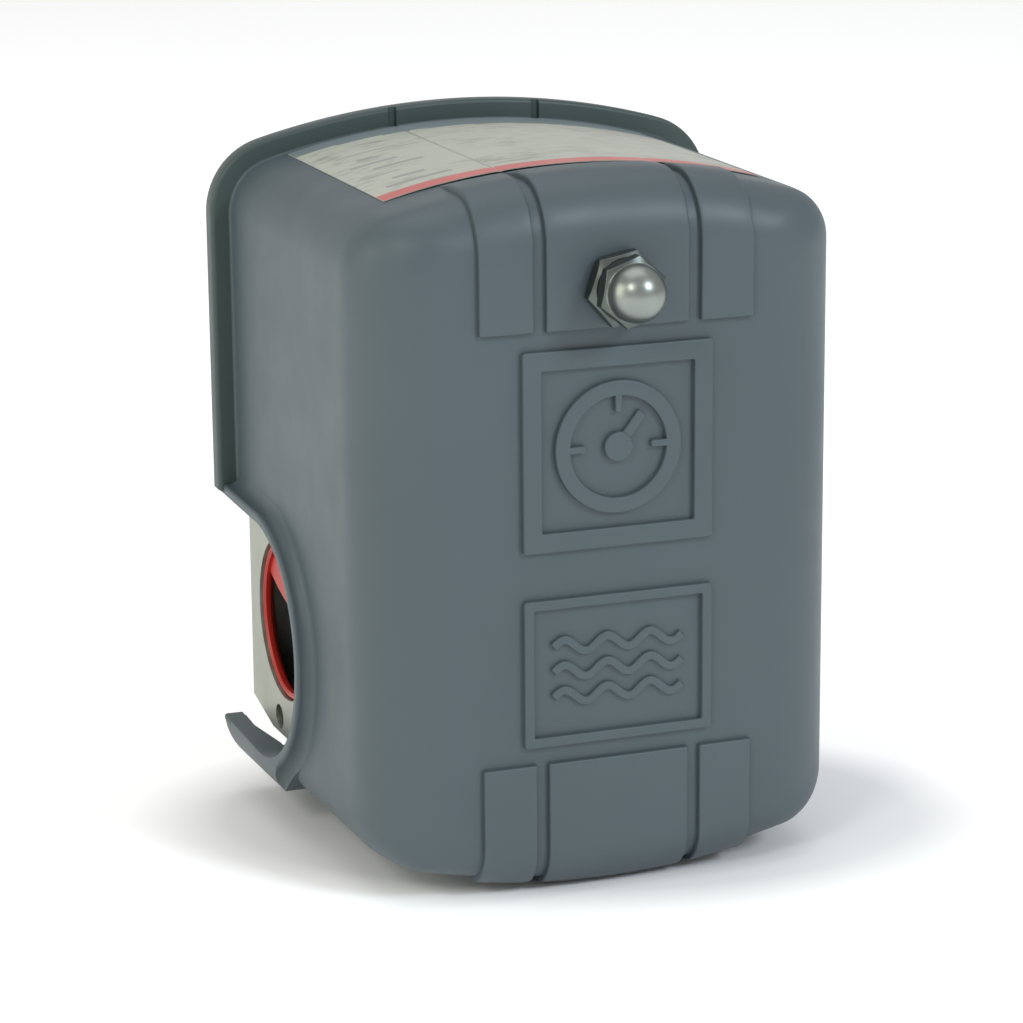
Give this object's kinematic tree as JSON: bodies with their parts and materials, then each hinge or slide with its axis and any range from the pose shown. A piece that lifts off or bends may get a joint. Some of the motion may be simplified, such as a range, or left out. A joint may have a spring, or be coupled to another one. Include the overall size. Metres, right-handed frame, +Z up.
{
  "type": "pressure switch",
  "caption": "Well-pump pressure switch: arched moulded cover held by an acorn nut on a stud, steel base with conduit openings in its sides, pressure port at the back.",
  "frame": {"origin": "middle of the footprint of the whole switch, on the surface it stands on", "axes": "+Z up along the height, -Y towards the front of the cover, +Y towards the pressure port at the back, +X to the right seen from the front"},
  "size_m": [0.0726, 0.0832, 0.0954],
  "materials": {
    "cover_plastic": "satin moulded thermoplastic, blue grey",
    "label_film": "satin printed film",
    "nickel_plated": "bright nickel plate",
    "zinc_steel": "bright zinc plate",
    "spring_steel": "oiled wire",
    "clamp_red": "semi-gloss moulded thermoplastic, red",
    "die_cast": "as cast",
    "rubber_black": "matt",
    "phenolic_black": "semi-gloss moulded phenolic",
    "piston_nylon": "natural nylon",
    "contact_brass": "bright rolled",
    "ground_green": "green dyed plate"
  },
  "bodies": {
    "base": {"base_bracket": "zinc_steel", "cable_clamp_left": "clamp_red", "cable_clamp_right": "clamp_red", "pressure_flange": "die_cast", "diaphragm": "rubber_black", "flange_screws": "zinc_steel", "pivot_pin": "zinc_steel", "range_stud": "zinc_steel", "range_spring": "spring_steel", "range_spring_seat": "zinc_steel", "differential_stud": "zinc_steel", "differential_spring": "spring_steel", "differential_washer": "zinc_steel", "terminal_block": "phenolic_black", "block_screws": "zinc_steel", "terminal_plates": "contact_brass", "terminal_screws": "nickel_plated", "fixed_contacts": "contact_brass", "contact_guides": "zinc_steel", "contact_springs": "spring_steel", "ground_screws": "ground_green"},
    "cover_shell": {"cover": "cover_plastic", "rating_label": "label_film"},
    "acorn": {"acorn_nut": "nickel_plated"},
    "jam": {"jam_nut": "nickel_plated"},
    "lever": {"operating_lever": "zinc_steel"},
    "plunger": {"piston": "piston_nylon"},
    "contact_carrier": {"contact_bar": "phenolic_black", "moving_contacts": "contact_brass"},
    "range_adjuster": {"range_nut": "zinc_steel"},
    "differential_adjuster": {"differential_nut": "zinc_steel"}
  },
  "joints": [
    {"name": "cover_off", "type": "slide", "parent": "base", "child": "cover_shell", "axis": [0, -1, 0], "range_m": [0, 0.08]},
    {"name": "acorn_turn", "type": "hinge", "parent": "cover_shell", "child": "acorn", "pos_m": [0, -0.036, 0.0786], "axis": [0, -1, 0], "continuous": true},
    {"name": "jam_turn", "type": "hinge", "parent": "cover_shell", "child": "jam", "pos_m": [0, -0.0335, 0.0786], "axis": [0, -1, 0], "continuous": true},
    {"name": "lever_tilt", "type": "hinge", "parent": "base", "child": "lever", "pos_m": [0, 0.02, 0.0855], "axis": [-1, 0, 0], "range_deg": [0, 2], "stiffness_Nm_per_rad": 2, "springref_deg": -2.86},
    {"name": "piston_push", "type": "slide", "parent": "base", "child": "plunger", "axis": [0, -1, 0], "range_m": [0, 0.001]},
    {"name": "contact_shift", "type": "slide", "parent": "base", "child": "contact_carrier", "axis": [0, -1, 0], "range_m": [0, 0.0013]},
    {"name": "range_turn", "type": "hinge", "parent": "base", "child": "range_adjuster", "pos_m": [0, -0.008, 0.0786], "axis": [0, 1, 0], "continuous": true},
    {"name": "differential_turn", "type": "hinge", "parent": "base", "child": "differential_adjuster", "pos_m": [0.019, 0.0005, 0.066], "axis": [0, 1, 0], "continuous": true}
  ],
  "couplings": [
    {"joint": "piston_push", "follows": "lever_tilt", "m_per_rad": 0.0275},
    {"joint": "contact_shift", "follows": "lever_tilt", "m_per_rad": 0.0365}
  ]
}
